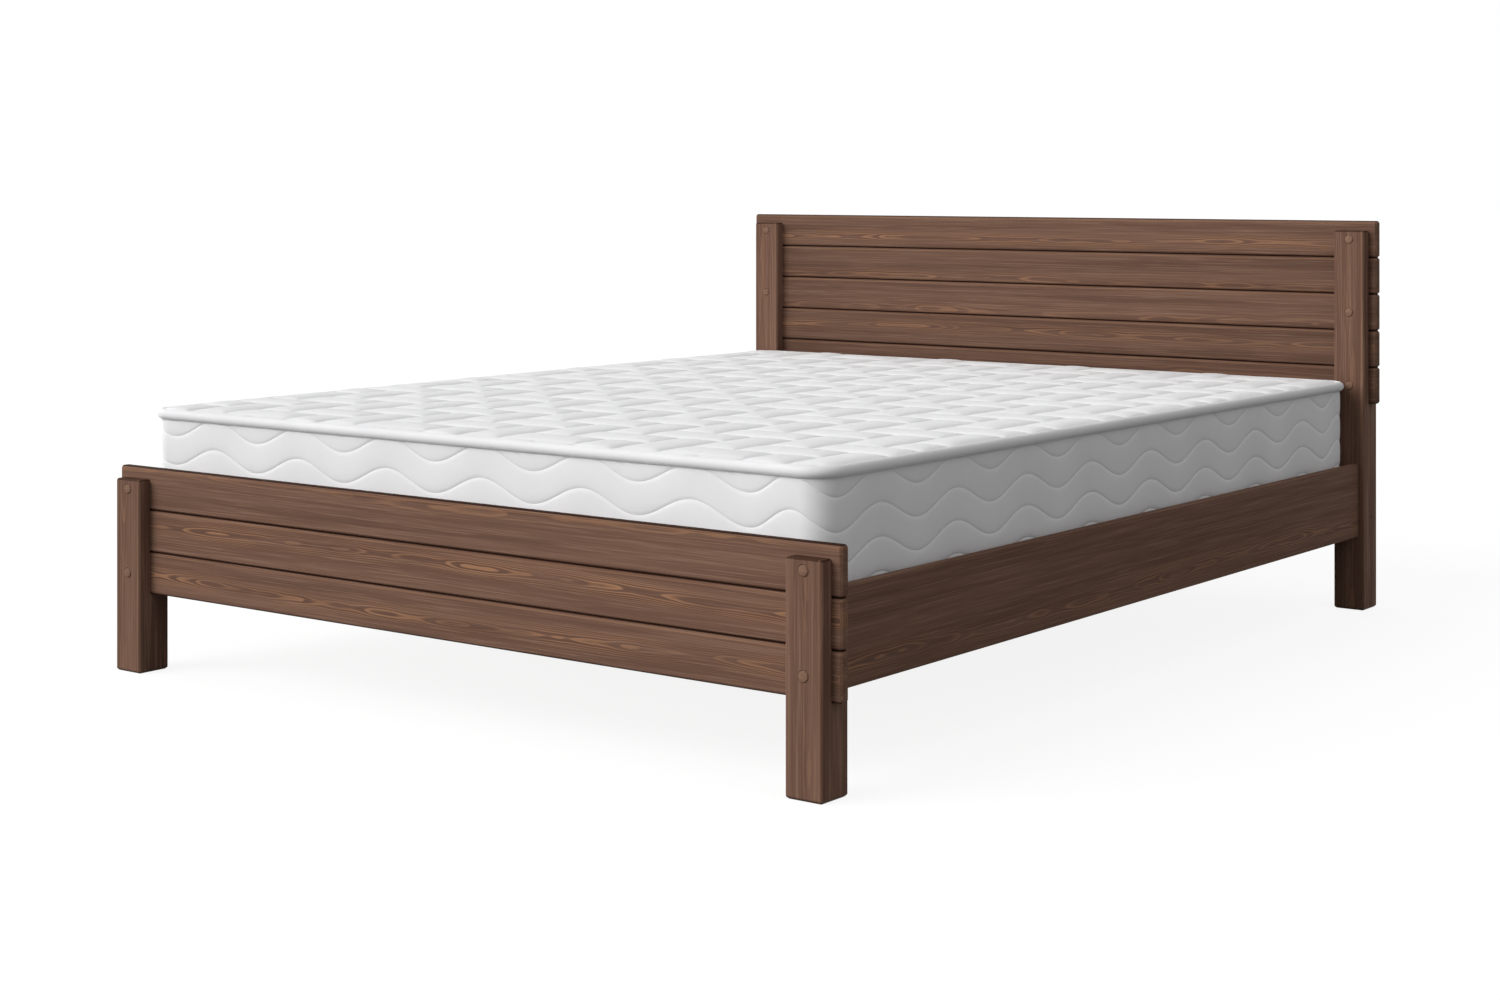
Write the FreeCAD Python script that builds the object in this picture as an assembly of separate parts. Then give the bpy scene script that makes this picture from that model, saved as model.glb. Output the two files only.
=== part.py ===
"""Double bed of stained pine planks, with its slatted base and its mattress.

Millimetres. +X is to the right as seen from the foot, +Y points to the head, +Z is up.
The origin lies on the floor under the middle of the bed.
"""
import FreeCAD, Part
import math
import os

os.makedirs("parts", exist_ok=True)

# Mattress: the size that the bed is built round
mattress_width = 1600.0
mattress_length = 2000.0
mattress_height = 210.0
mattress_corner = 60.0
mattress_foot_gap = 2.5
mattress_head_gap = 1.0
mattress_lift_gap = 0.3
piping_radius = 10.0
piping_seat = 0.1
piping_sides = 12
puff_inset = 5.0
puff_bulge = 4.0
channel_slope = 12.0
border_thickness = 10.0
channel_drop = 18.3
channel_pitch = 54.6
channel_count = 3
narrow_slope_share = 0.4
wave_rise = 32.0
wave_start = 100.0
wave_count = 31
wave_steps = 4
corner_steps = 4
crown_rise = 4.0
crown_edge = 8.0
crown_shoulder = 40.0
crown_flat = 240.0
quilt_square = 88.0
quilt_depth = 8.0
quilt_slope = 18.0
quilt_start_x = 0.0
quilt_start_y = 0.0

# Legs
leg_width = 70.0
leg_tongue = 25.0
leg_foot_chamfer = 5.0
leg_edge_chamfer = 3.0
leg_top_drop = 21.5

# Planks of the headboard and the footboard
plank_height = 80.0
plank_thickness = 21.0
plank_overhang = 18.0
plank_chamfer = 4.0
foot_plank_count = 3
head_plank_count = 5
foot_panel_bottom = 150.0
head_panel_bottom = 450.0
tongue_height = 6.0
tongue_thickness = 5.0
tongue_clearance = 0.3

# Side rails and the ledgers on them
rail_height = 160.0
rail_thickness = 17.0
rail_lift = 10.0
rail_tuck = 2.0
rail_inset = 13.0
rail_edge_chamfer = 2.5
ledger_width = 30.0
ledger_height = 40.0
ledger_edge = 2.0
ledger_end_gap = 0.5

# Slats and the tapes that space them
slat_count = 14
slat_width = 80.0
slat_thickness = 20.0
slat_drop = 30.0
slat_side_gap = 2.0
slat_end_gap = 15.0
slat_edge_chamfer = 3.0
tape_width = 25.0
tape_thickness = 1.0
tape_inset = 150.0

# Rail between the head legs, centre beam and its support
cross_rail_height = 100.0
cross_rail_thickness = 27.0
cross_rail_setback = 25.5
cross_rail_edge = 2.0
beam_width = 45.0
beam_height = 70.0
beam_edge = 2.0
beam_end_gap = 0.3
centre_leg_width = 45.0
centre_leg_chamfer = 4.0
levelling_height = 22.0
pad_radius = 18.0
pad_height = 6.0
pad_sides = 16
stud_radius = 4.0
stud_reach = 30.0

# Steel fittings
bracket_margin = 4.0
bracket_rail_flange = 45.0
bracket_leg_flange = 36.0
bracket_thickness = 3.0
bracket_bend_radius = 2.0
hanger_thickness = 2.0
hanger_flange = 24.0
hanger_depth = 40.0
hanger_fit = 0.2
screw_row_shares = (1 / 4, 3 / 4)
flange_screw_share = 2 / 3

# Wood screws, dowels and plugs
screw_radius = 2.0
head_radius = 4.0
head_height = 2.4
bore_clearance = 0.1
bore_end = 0.5
panel_screw_length = 30.0
ledger_screw_length = 40.0
short_screw_length = 15.0
long_screw_length = 32.0
slat_screw_length = 34.0
cross_screw_length = 95.0
cross_head_radius = 2.5
cross_head_height = 4.0
cross_head_depth = 14.0
cross_screw_drop = 20.0
ledger_screw_count = 5
ledger_screw_inset = 120.0
plug_radius = 9.5
plug_flat_radius = 5.0
plug_depth = 10.0
plug_dome = 2.0
plug_sides = 16
dowel_radius = 4.0
dowel_length = 50.0
dowel_rise = 25.0

# One overrun serves every cut that must pass through a face
overrun = 1.0
flat_tolerance = 0.0000001

# Places worked out from the sizes above
rail_inner = mattress_width / 2 - rail_tuck
rail_outer = rail_inner + rail_thickness
leg_outer = rail_outer + rail_inset
leg_inner = leg_outer - leg_width
leg_centre = leg_outer - leg_width / 2
plank_reach = leg_outer + plank_overhang
rail_length = mattress_foot_gap + mattress_length + mattress_head_gap
bed_length = leg_tongue + plank_thickness + rail_length + leg_width
foot_front = (plug_dome - bed_length) / 2
foot_plank_back = foot_front + leg_tongue + plank_thickness
head_front = foot_plank_back + rail_length
foot_panel_top = foot_panel_bottom + foot_plank_count * plank_height
head_panel_top = head_panel_bottom + head_plank_count * plank_height
rail_bottom = foot_panel_bottom + rail_lift
rail_top = rail_bottom + rail_height
slat_top = rail_top - slat_drop
slat_bottom = slat_top - slat_thickness
ledger_bottom = slat_bottom - ledger_height
ledger_inner = rail_inner - ledger_width
bracket_bottom = rail_bottom + bracket_margin
bracket_height = ledger_bottom - bracket_margin - bracket_bottom
cross_front = head_front + cross_rail_setback
cross_bottom = slat_bottom - cross_rail_height
beam_bottom = slat_bottom - beam_height
mattress_bottom = slat_top + mattress_lift_gap
mattress_top = mattress_bottom + mattress_height
mattress_middle = foot_plank_back + mattress_foot_gap + mattress_length / 2
border_bottom = mattress_bottom + 2 * piping_radius
border_top = mattress_top - 2 * piping_radius

sides = {"left": -1, "right": 1}


def vector(x, y, z):
    return FreeCAD.Vector(x, y, z)


def block(x_span, y_span, z_span):
    """A box between two values on each axis, given in either order."""
    low = vector(min(x_span), min(y_span), min(z_span))
    high = vector(max(x_span), max(y_span), max(z_span))
    size = high - low
    return Part.makeBox(size.x, size.y, size.z, low)


def extrude(points, way):
    """A prism of a closed outline through the points."""
    outline = Part.makePolygon(points + points[:1])
    return Part.Face(outline).extrude(way)


def edges_where(shape, test):
    return [edge for edge in shape.Edges if test(edge.BoundBox)]


def eased(shape, size, test):
    """The shape with a flat planed along the edges that pass the test."""
    return shape.makeChamfer(size, edges_where(shape, test))


def ring(radius, sides, middle, way):
    """Corners of an even polygon round a point, square to the way."""
    turned = FreeCAD.Rotation(vector(0, 0, 1), way)
    angles = [2 * math.pi * corner / sides for corner in range(sides)]
    flat = [vector(radius * math.cos(angle), radius * math.sin(angle), 0) for angle in angles]
    return [middle + turned.multVec(corner) for corner in flat]


def rod(radius, length, foot, way, sides=6):
    """Rod with flat sides: small round things are drawn so, to keep their facets few."""
    return extrude(ring(radius, sides, foot, way), way * length)


def flat_face(corners):
    return Part.Face(Part.makePolygon(corners + corners[:1]))


def strip(outline, following):
    """Flat faces between two closed outlines of as many corners."""
    faces = []
    for index in range(len(outline)):
        after = (index + 1) % len(outline)
        a, b, c, d = outline[index], outline[after], following[after], following[index]
        twist = abs((b - a).cross(d - a).dot(c - a))
        if twist < flat_tolerance * (b - a).Length * (d - a).Length:
            faces.append(flat_face([a, b, c, d]))
        else:
            faces += [flat_face([a, b, c]), flat_face([a, c, d])]
    return faces


def skinned(outlines):
    """A solid with flat faces from each outline to the next, closed at both ends."""
    faces = [flat_face(outlines[0]), flat_face(outlines[-1])]
    for outline, following in zip(outlines, outlines[1:]):
        faces += strip(outline, following)
    return Part.Solid(Part.Shell(faces))


def save(name, shape):
    shape.exportStep("parts/" + name + ".step")


def cut_all(shape, tools):
    """The shape with every tool that reaches it cut away."""
    near = [tool for tool in tools if tool.BoundBox.intersect(shape.BoundBox)]
    return shape.cut(near) if near else shape


class Screw:
    """A wood screw with its head on the surface at seat, or sunk under it.

    The steel is the solid; the bore is the hole that the wood has for it.
    """

    def __init__(self, seat, way, length, sunk=False, head=head_radius, head_length=head_height):
        self.seat = seat
        self.way = way
        root = seat + way * head_length if sunk else seat
        crown = seat if sunk else seat - way * head_length
        shank_length = length - head_length if sunk else length
        shank = rod(screw_radius, shank_length, root, way)
        cap = rod(head, head_length, crown, way)
        self.steel = cap.fuse(shank).removeSplitter()
        bore_length = shank_length + bore_end
        self.bore = rod(screw_radius + bore_clearance, bore_length, root, way)
        if sunk:
            start = seat - way * overrun
            recess_length = head_length + overrun
            recess = rod(head + bore_clearance, recess_length, start, way)
            self.bore = self.bore.fuse(recess)


def group(solids):
    return Part.makeCompound(solids)


# Fasteners come first, because the wood is bored for them


def plug_places(front, panel_bottom, plank_count):
    """Middles of every second plank on both legs, at the face of the legs."""
    rows = range(0, plank_count, 2)
    heights = [panel_bottom + (row + 1 / 2) * plank_height for row in rows]
    return [vector(side * leg_centre, front, z) for side in sides.values() for z in heights]


def plug(place):
    """Turned wooden plug with a low dome, which hides a screw head."""
    way = vector(0, 1, 0)
    bottom = place + way * (plug_depth - head_height)
    rings = [(plug_radius, bottom), (plug_radius, place), (plug_flat_radius, place - way * plug_dome)]
    return skinned([ring(radius, plug_sides, middle, way) for radius, middle in rings])


def plug_bore(place):
    way = vector(0, 1, 0)
    return rod(plug_radius + bore_clearance, plug_depth + overrun, place - way * overrun, way, plug_sides)


def panel_screws(places):
    seat_drop = vector(0, plug_depth, 0)
    return [Screw(place + seat_drop, vector(0, 1, 0), panel_screw_length) for place in places]


def bracket_screws():
    """Two screws into the rail and two into the leg at each of the four corners."""
    screws = []
    rows = [bracket_bottom + share * bracket_height for share in screw_row_shares]
    for side in sides.values():
        for wall, inward in ((foot_plank_back, 1), (head_front, -1)):
            for z in rows:
                rail_y = wall + inward * bracket_rail_flange * flange_screw_share
                rail_seat = vector(side * (rail_inner - bracket_thickness), rail_y, z)
                screws.append(Screw(rail_seat, vector(side, 0, 0), short_screw_length))
                leg_x = side * (rail_inner - bracket_leg_flange * flange_screw_share)
                leg_seat = vector(leg_x, wall + inward * bracket_thickness, z)
                screws.append(Screw(leg_seat, vector(0, -inward, 0), long_screw_length))
    return screws


def ledger_screws():
    screws = []
    z = ledger_bottom + ledger_height / 2
    first = foot_plank_back + ledger_screw_inset
    pitch = (rail_length - 2 * ledger_screw_inset) / (ledger_screw_count - 1)
    for side in sides.values():
        for index in range(ledger_screw_count):
            seat = vector(side * ledger_inner, first + index * pitch, z)
            screws.append(Screw(seat, vector(side, 0, 0), ledger_screw_length, sunk=True))
    return screws


def hanger_screws():
    screws = []
    across = beam_width / 2 + hanger_fit + hanger_thickness + hanger_flange / 2
    rows = [beam_bottom + share * beam_height for share in screw_row_shares]
    for wall, inward in ((foot_plank_back, 1), (cross_front, -1)):
        for x in (-across, across):
            for z in rows:
                seat = vector(x, wall + inward * hanger_thickness, z)
                screws.append(Screw(seat, vector(0, -inward, 0), short_screw_length))
    return screws


def slat_middles():
    first = foot_plank_back + slat_end_gap + slat_width / 2
    last = head_front - slat_end_gap - slat_width / 2
    pitch = (last - first) / (slat_count - 1)
    return [first + index * pitch for index in range(slat_count)]


def slat_screws():
    """One sunk screw in each end of the first and the last slat."""
    middles = slat_middles()
    x = rail_inner - ledger_width / 2
    places = [vector(side * x, y, slat_top) for side in sides.values() for y in (middles[0], middles[-1])]
    return [Screw(place, vector(0, 0, -1), slat_screw_length, sunk=True) for place in places]


def cross_rail_screws():
    """Long slim screws through the head legs into the ends of the cross rail."""
    screws = []
    y = cross_front + cross_rail_thickness / 2
    z = cross_bottom + cross_rail_height / 2 - cross_screw_drop
    for side in sides.values():
        seat = vector(side * (leg_outer - cross_head_depth), y, z)
        way = vector(-side, 0, 0)
        screws.append(Screw(seat, way, cross_screw_length, False, cross_head_radius, cross_head_height))
    return screws


def cross_head_bores(screws):
    """Way in for each cross rail screw, from the side of its leg."""
    radius = cross_head_radius + bore_clearance
    depth = cross_head_depth + overrun
    return [rod(radius, depth, screw.seat, screw.way * -1) for screw in screws]


def cross_dowels(clearance):
    """Dowels between the head legs and the cross rail, or the bores for them."""
    y = cross_front + cross_rail_thickness / 2
    z = cross_bottom + cross_rail_height / 2 + dowel_rise
    length = dowel_length + 2 * clearance
    starts = [(side * leg_inner - length / 2, y, z) for side in sides.values()]
    radius = dowel_radius + clearance
    return [rod(radius, length, vector(*start), vector(1, 0, 0)) for start in starts]


def stud(middle_z, clearance):
    """Threaded stud on the upright axis of the centre leg, or the bore for it."""
    length = 2 * stud_reach + 2 * clearance
    foot = vector(0, 0, middle_z - length / 2)
    return rod(stud_radius + clearance, length, foot, vector(0, 0, 1))


# Wooden frame


def leg(side, front, rebate_bottom, top):
    """Square leg, rebated from behind so that the planks lie behind its tongue."""
    back = front + leg_width
    tongue_back = front + leg_tongue
    x = side * leg_centre - leg_width / 2
    outline = [
        vector(x, front, 0),
        vector(x, back, 0),
        vector(x, back, rebate_bottom),
        vector(x, tongue_back, rebate_bottom),
        vector(x, tongue_back, top),
        vector(x, front, top),
    ]
    solid = extrude(outline, vector(leg_width, 0, 0))
    solid = eased(solid, leg_foot_chamfer, lambda box: box.ZMax < leg_foot_chamfer)

    def shows(box):
        upright = box.ZLength > leg_width
        at_front = box.YMax < front + leg_foot_chamfer
        at_back = box.YMin > back - leg_foot_chamfer
        on_top = box.ZMin > top - leg_foot_chamfer and box.YMin < tongue_back - leg_foot_chamfer
        return (upright and (at_front or at_back)) or on_top

    return eased(solid, leg_edge_chamfer, shows)


def plank(panel_bottom, row, count, front):
    """Board with eased edges all round, a tongue on top and a groove below."""
    low = panel_bottom + row * plank_height
    high = low + plank_height
    back = front + plank_thickness
    board = block((-plank_reach, plank_reach), (front, back), (low, high))
    board = board.makeChamfer(plank_chamfer, board.Edges)
    middle = (front + back) / 2
    reach = plank_reach - plank_thickness
    tongue_span = (middle - tongue_thickness / 2, middle + tongue_thickness / 2)
    if row < count - 1:
        tongue = block((-reach, reach), tongue_span, (high - tongue_height, high + tongue_height))
        board = board.fuse(tongue).removeSplitter()
    if row > 0:
        slot_reach = reach + tongue_clearance
        slot_span = (tongue_span[0] - tongue_clearance, tongue_span[1] + tongue_clearance)
        slot_top = low + tongue_height + tongue_clearance
        board = board.cut(block((-slot_reach, slot_reach), slot_span, (low - overrun, slot_top)))
    return board


def side_rail(side):
    x_span = (side * rail_inner, side * rail_outer)
    rail = block(x_span, (foot_plank_back, head_front), (rail_bottom, rail_top))
    return eased(rail, rail_edge_chamfer, lambda box: box.YLength > rail_height)


def ledger(side):
    y_span = (foot_plank_back + ledger_end_gap, head_front - ledger_end_gap)
    strip = block((side * ledger_inner, side * rail_inner), y_span, (ledger_bottom, slat_bottom))

    def inner_low(box):
        low = box.ZMax < slat_bottom - ledger_edge
        free = max(abs(box.XMin), abs(box.XMax)) < rail_inner - ledger_edge
        return box.YLength > rail_height and low and free

    return eased(strip, ledger_edge, inner_low)


def cross_rail():
    y_span = (cross_front, cross_front + cross_rail_thickness)
    rail = block((-leg_inner, leg_inner), y_span, (cross_bottom, slat_bottom))
    return eased(rail, cross_rail_edge, lambda box: box.XLength > leg_inner)


def centre_beam():
    gap = hanger_thickness + beam_end_gap
    y_span = (foot_plank_back + gap, cross_front - gap)
    beam = block((-beam_width / 2, beam_width / 2), y_span, (beam_bottom, slat_bottom))
    return eased(beam, beam_edge, lambda box: box.YLength > rail_height)


def centre_leg():
    half = centre_leg_width / 2
    post = block((-half, half), (-half, half), (levelling_height, beam_bottom))
    return eased(post, centre_leg_chamfer, lambda box: box.ZMax < levelling_height + half)


def levelling_foot():
    """Round pad that stands on the floor, with its threaded stem."""
    up = vector(0, 0, 1)
    pad = rod(pad_radius, pad_height, vector(0, 0, 0), up, pad_sides)
    stem_length = levelling_height - pad_height + stud_reach
    return pad.fuse(rod(stud_radius, stem_length, up * pad_height, up))


def slat(middle):
    reach = rail_inner - slat_side_gap
    y_span = (middle - slat_width / 2, middle + slat_width / 2)
    board = block((-reach, reach), y_span, (slat_bottom, slat_top))
    return eased(board, slat_edge_chamfer, lambda box: box.XLength > reach)


def slat_tape(side):
    """Woven tape under the slats, which keeps them at their pitch."""
    middles = slat_middles()
    outer = ledger_inner - tape_inset
    y_span = (middles[0] - slat_width / 2, middles[-1] + slat_width / 2)
    z_span = (slat_bottom - tape_thickness, slat_bottom)
    return block((side * outer, side * (outer - tape_width)), y_span, z_span)


# Steel fittings


def rail_bracket(side, wall, inward):
    """Bent angle in the corner between a rail and the end of the bed."""
    corner_x = side * rail_inner
    rail_x = side * (rail_inner - bracket_thickness)
    leg_x = side * (rail_inner - bracket_leg_flange)
    rail_y = wall + inward * bracket_rail_flange
    leg_y = wall + inward * bracket_thickness
    z = bracket_bottom
    outline = [
        vector(corner_x, wall, z),
        vector(leg_x, wall, z),
        vector(leg_x, leg_y, z),
        vector(rail_x, leg_y, z),
        vector(rail_x, rail_y, z),
        vector(corner_x, rail_y, z),
    ]
    angle = extrude(outline, vector(0, 0, bracket_height))

    def bend(box):
        upright = box.ZLength > bracket_thickness
        near_x = abs((box.XMin + box.XMax) / 2 - rail_x) < bracket_thickness / 2
        near_y = abs((box.YMin + box.YMax) / 2 - leg_y) < bracket_thickness / 2
        return upright and near_x and near_y

    return angle.makeFillet(bracket_bend_radius, edges_where(angle, bend))


def beam_hanger(wall, inward):
    """Folded steel shoe that carries one end of the centre beam."""
    inner = beam_width / 2 + hanger_fit
    outer = inner + hanger_thickness
    floor = beam_bottom - hanger_fit
    plate_y = (wall, wall + inward * hanger_thickness)
    reach_y = (wall, wall + inward * hanger_depth)
    bottom = floor - hanger_thickness
    top = beam_bottom + beam_height - hanger_flange / 2
    plate = block((-outer - hanger_flange, outer + hanger_flange), plate_y, (bottom, top))
    shoe = block((-outer, outer), reach_y, (bottom, top))
    hollow_y = (wall + inward * hanger_thickness, wall + inward * (hanger_depth + overrun))
    hollow = block((-inner, inner), hollow_y, (floor, top + overrun))
    return plate.fuse(shoe).cut(hollow).removeSplitter()


# Mattress


def rounded_outline(inset, z, radius):
    """Plan of the mattress, drawn in by inset from its piping, at height z."""
    half_x = mattress_width / 2 - inset
    half_y = mattress_length / 2 - inset
    turn = radius * (1 - math.sqrt(1 / 2))
    edges = []
    corners = [(1, -1), (1, 1), (-1, 1), (-1, -1)]
    for index, (sx, sy) in enumerate(corners):
        x = sx * half_x
        y = mattress_middle + sy * half_y
        flat = vector(x, y - sy * radius, z)
        level = vector(x - sx * radius, y, z)
        middle = vector(x - sx * turn, y - sy * turn, z)
        arc_in, arc_out = (level, flat) if index % 2 == 0 else (flat, level)
        edges.append(Part.Arc(arc_in, middle, arc_out).toShape())
    joined = []
    for edge, following in zip(edges, edges[1:] + edges[:1]):
        joined.append(edge)
        joined.append(Part.makeLine(edge.Vertexes[-1].Point, following.Vertexes[0].Point))
    return Part.Wire(joined)


def slab(inset, low, high):
    wire = rounded_outline(inset, low, mattress_corner - inset)
    return Part.Face(wire).extrude(vector(0, 0, high - low))


channel_plane = puff_inset + puff_bulge
border_back = channel_plane + border_thickness
corner_flat = math.pi / (2 * corner_steps)
core_fit = (mattress_corner - border_back) * (1 - math.cos(corner_flat / 2)) + piping_seat
core_inset = border_back + core_fit
panel_inset = 2 * (piping_radius + piping_seat)


def mattress_core():
    """Springs and felt, taken as one block inside the cover."""
    return slab(core_inset, border_bottom, border_top)


def border_stations():
    """Points round the channel plane of the border, with the outward way and the waves up to there."""
    half_x = mattress_width / 2 - channel_plane
    half_y = mattress_length / 2 - channel_plane
    radius = mattress_corner - channel_plane
    wave = (4 * (half_x + half_y - 2 * radius) + 2 * math.pi * radius) / wave_count
    quarter = math.pi / 2
    stations = []
    travel = -wave_start
    for turn, (run, away) in enumerate(((half_x, half_y), (half_y, half_x)) * 2):
        out = FreeCAD.Rotation(vector(0, 0, 1), 90 * turn - 90).multVec(vector(1, 0, 0))
        along = FreeCAD.Rotation(vector(0, 0, 1), 90 * turn).multVec(vector(1, 0, 0))
        straight = 2 * (run - radius)
        start = out * away - along * (run - radius)
        steps = round(straight / wave * wave_steps)
        for step in range(steps):
            distance = straight * step / steps
            stations.append((start + along * distance, out, (travel + distance) / wave))
        travel += straight
        pivot = out * (away - radius) + along * (run - radius)
        for step in range(corner_steps):
            angle = quarter * step / corner_steps
            way = out * math.cos(angle) + along * math.sin(angle)
            stations.append((pivot + way * radius, way, (travel + radius * angle) / wave))
        travel += radius * quarter
    return stations


def border_section(spot, outward, waves):
    """Cut through the border: rows of puffs between channels that rise and fall."""
    lift = wave_rise / 2 * math.cos(2 * math.pi * waves)
    lines = [border_top - channel_drop - row * channel_pitch + lift for row in range(channel_count)]
    heights = [border_top] + lines + [border_bottom]
    base = spot + vector(0, mattress_middle, 0)
    points = [base - outward * border_thickness + vector(0, 0, border_top), base + vector(0, 0, border_top)]
    for high, low in zip(heights, heights[1:]):
        bulge = outward * puff_bulge * min(1, (high - low) / channel_pitch)
        slope = min(channel_slope, (high - low) * narrow_slope_share)
        points.append(base + bulge + vector(0, 0, high - slope))
        points.append(base + bulge + vector(0, 0, low + slope))
        points.append(base + vector(0, 0, low))
    return points + [base - outward * border_thickness + vector(0, 0, border_bottom)]


def mattress_border():
    """Quilted side of the mattress, with wavy channels that run all the way round."""
    sections = [border_section(*station) for station in border_stations()]
    faces = []
    for section, following in zip(sections, sections[1:] + sections[:1]):
        faces += strip(section, following)
    return Part.Solid(Part.Shell(faces))


def piping(inset, middle_z):
    """Round tape edge that closes the cover, on the plan of the mattress."""
    path = rounded_outline(inset + piping_radius, middle_z, mattress_corner - inset - piping_radius)
    start = path.Edges[0].Vertexes[0].Point
    way = path.Edges[0].tangentAt(path.Edges[0].FirstParameter)
    corners = ring(piping_radius - piping_seat, piping_sides, start, way)
    return path.makePipeShell([Part.makePolygon(corners + corners[:1])], True, False)


def rectangle(low_x, low_y, high_x, high_y, z):
    corners = [(low_x, low_y), (high_x, low_y), (high_x, high_y), (low_x, high_y)]
    return [vector(x, y, z) for x, y in corners]


def plan_rectangle(inset, z):
    half_x = mattress_width / 2 - inset
    half_y = mattress_length / 2 - inset
    return rectangle(-half_x, mattress_middle - half_y, half_x, mattress_middle + half_y, z)


def panel_envelope():
    """Outer shape of the top panel before it is quilted: a rolled edge and a low crown."""
    rim = slab(panel_inset, border_top, mattress_top)
    rim = eased(rim, crown_edge, lambda box: box.ZMin > border_top + piping_radius)
    foot_of_crown = plan_rectangle(crown_shoulder, mattress_top)
    top_of_crown = plan_rectangle(crown_flat, mattress_top + crown_rise)
    return rim.fuse(skinned([foot_of_crown, top_of_crown])).removeSplitter()


def quilt_bars():
    """Column, row and squares each way of every bar: two squares each, laid as a basket weave."""
    columns = math.ceil(mattress_width / 2 / quilt_square) + 2
    rows = math.ceil(mattress_length / 2 / quilt_square) + 2
    bars = []
    for column in range(-columns, columns):
        for row in range(-rows, rows):
            place = (column - row) % 4
            if place == 0:
                bars.append((column, row, 2, 1))
            if place == 3:
                bars.append((column, row, 1, 2))
    return bars


def quilt_puff(column, row, columns, rows):
    """One bar of the quilting, with slopes that rise from its seams to above the panel."""
    seam = mattress_top - quilt_depth
    rise = quilt_depth + crown_rise + overrun
    draw = rise * quilt_slope / quilt_depth
    low_x = column * quilt_square + quilt_start_x
    low_y = row * quilt_square + quilt_start_y
    high_x = low_x + columns * quilt_square
    high_y = low_y + rows * quilt_square
    base = rectangle(low_x, low_y, high_x, high_y, seam)
    top = rectangle(low_x + draw, low_y + draw, high_x - draw, high_y - draw, seam + rise)
    return skinned([base, top])


def top_panel():
    """Quilted top: the envelope is whole below the seams and is cut into puffs above them."""
    envelope = panel_envelope()
    seam = mattress_top - quilt_depth
    below = slab(0, border_top, seam)
    puffs = [quilt_puff(*bar) for bar in quilt_bars()]
    near = [puff for puff in puffs if puff.BoundBox.intersect(envelope.BoundBox)]
    above = envelope.common(group(near))
    return envelope.common(below).fuse(above.Solids).removeSplitter()


def bottom_panel():
    return slab(panel_inset + rail_tuck + mattress_head_gap, mattress_bottom, border_bottom)


# Building and saving

foot_plug_places = plug_places(foot_front, foot_panel_bottom, foot_plank_count)
head_plug_places = plug_places(head_front, head_panel_bottom, head_plank_count)
screws_in_panels = panel_screws(foot_plug_places + head_plug_places)
screws_in_brackets = bracket_screws()
screws_in_ledgers = ledger_screws()
screws_in_hangers = hanger_screws()
screws_in_slats = slat_screws()
screws_in_cross_rail = cross_rail_screws()
all_screws = screws_in_panels + screws_in_brackets + screws_in_ledgers
all_screws += screws_in_hangers + screws_in_slats + screws_in_cross_rail
bores = [screw.bore for screw in all_screws]
bores += [plug_bore(place) for place in foot_plug_places + head_plug_places]
bores += cross_head_bores(screws_in_cross_rail)
bores += cross_dowels(bore_clearance)
bores += [stud(beam_bottom, bore_clearance), stud(levelling_height, bore_clearance)]

foot_leg_top = foot_panel_top - leg_top_drop
head_leg_top = head_panel_top - leg_top_drop
for name, side in sides.items():
    save("foot_leg_" + name, cut_all(leg(side, foot_front, foot_panel_bottom, foot_leg_top), bores))
    save("head_leg_" + name, cut_all(leg(side, head_front, head_panel_bottom, head_leg_top), bores))
    save("side_rail_" + name, cut_all(side_rail(side), bores))
    save("ledger_" + name, cut_all(ledger(side), bores))
    save("slat_tape_" + name, slat_tape(side))
    save("foot_bracket_" + name, cut_all(rail_bracket(side, foot_plank_back, 1), bores))
    save("head_bracket_" + name, cut_all(rail_bracket(side, head_front, -1), bores))

for panel, front, bottom, count in (
    ("foot", foot_front + leg_tongue, foot_panel_bottom, foot_plank_count),
    ("head", head_front + leg_tongue, head_panel_bottom, head_plank_count),
):
    for row in range(count):
        save(panel + "_board_" + str(row + 1), cut_all(plank(bottom, row, count, front), bores))

for index, middle in enumerate(slat_middles()):
    save("slat_" + str(index + 1).zfill(2), cut_all(slat(middle), bores))

save("head_cross_rail", cut_all(cross_rail(), bores))
save("centre_beam", cut_all(centre_beam(), bores))
save("centre_leg", cut_all(centre_leg(), bores))
save("centre_leg_stud", stud(beam_bottom, 0))
save("levelling_foot", levelling_foot())
save("beam_hanger_foot", cut_all(beam_hanger(foot_plank_back, 1), bores))
save("beam_hanger_head", cut_all(beam_hanger(cross_front, -1), bores))
save("foot_plugs", group([plug(place) for place in foot_plug_places]))
save("head_plugs", group([plug(place) for place in head_plug_places]))
save("panel_screws", group([screw.steel for screw in screws_in_panels]))
save("bracket_screws", group([screw.steel for screw in screws_in_brackets]))
save("ledger_screws", group([screw.steel for screw in screws_in_ledgers]))
save("hanger_screws", group([screw.steel for screw in screws_in_hangers]))
save("slat_screws", group([screw.steel for screw in screws_in_slats]))
save("cross_rail_screws", group([screw.steel for screw in screws_in_cross_rail]))
save("cross_rail_dowels", group(cross_dowels(0)))
save("mattress_core", mattress_core())
save("mattress_border", mattress_border())
save("mattress_top_panel", top_panel())
save("mattress_bottom_panel", bottom_panel())
save("mattress_top_piping", piping(0, mattress_top - piping_radius))
save("mattress_bottom_piping", piping(rail_tuck + mattress_head_gap, mattress_bottom + piping_radius))
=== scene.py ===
"""Looks of the double bed: stained pine, the quilted mattress, fittings, stage, light and camera.

Metres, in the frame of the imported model: +X to the right seen from the foot, +Y to the head, +Z up.
"""
import math

import bmesh
import bpy
from mathutils import Matrix, Vector, noise


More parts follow.
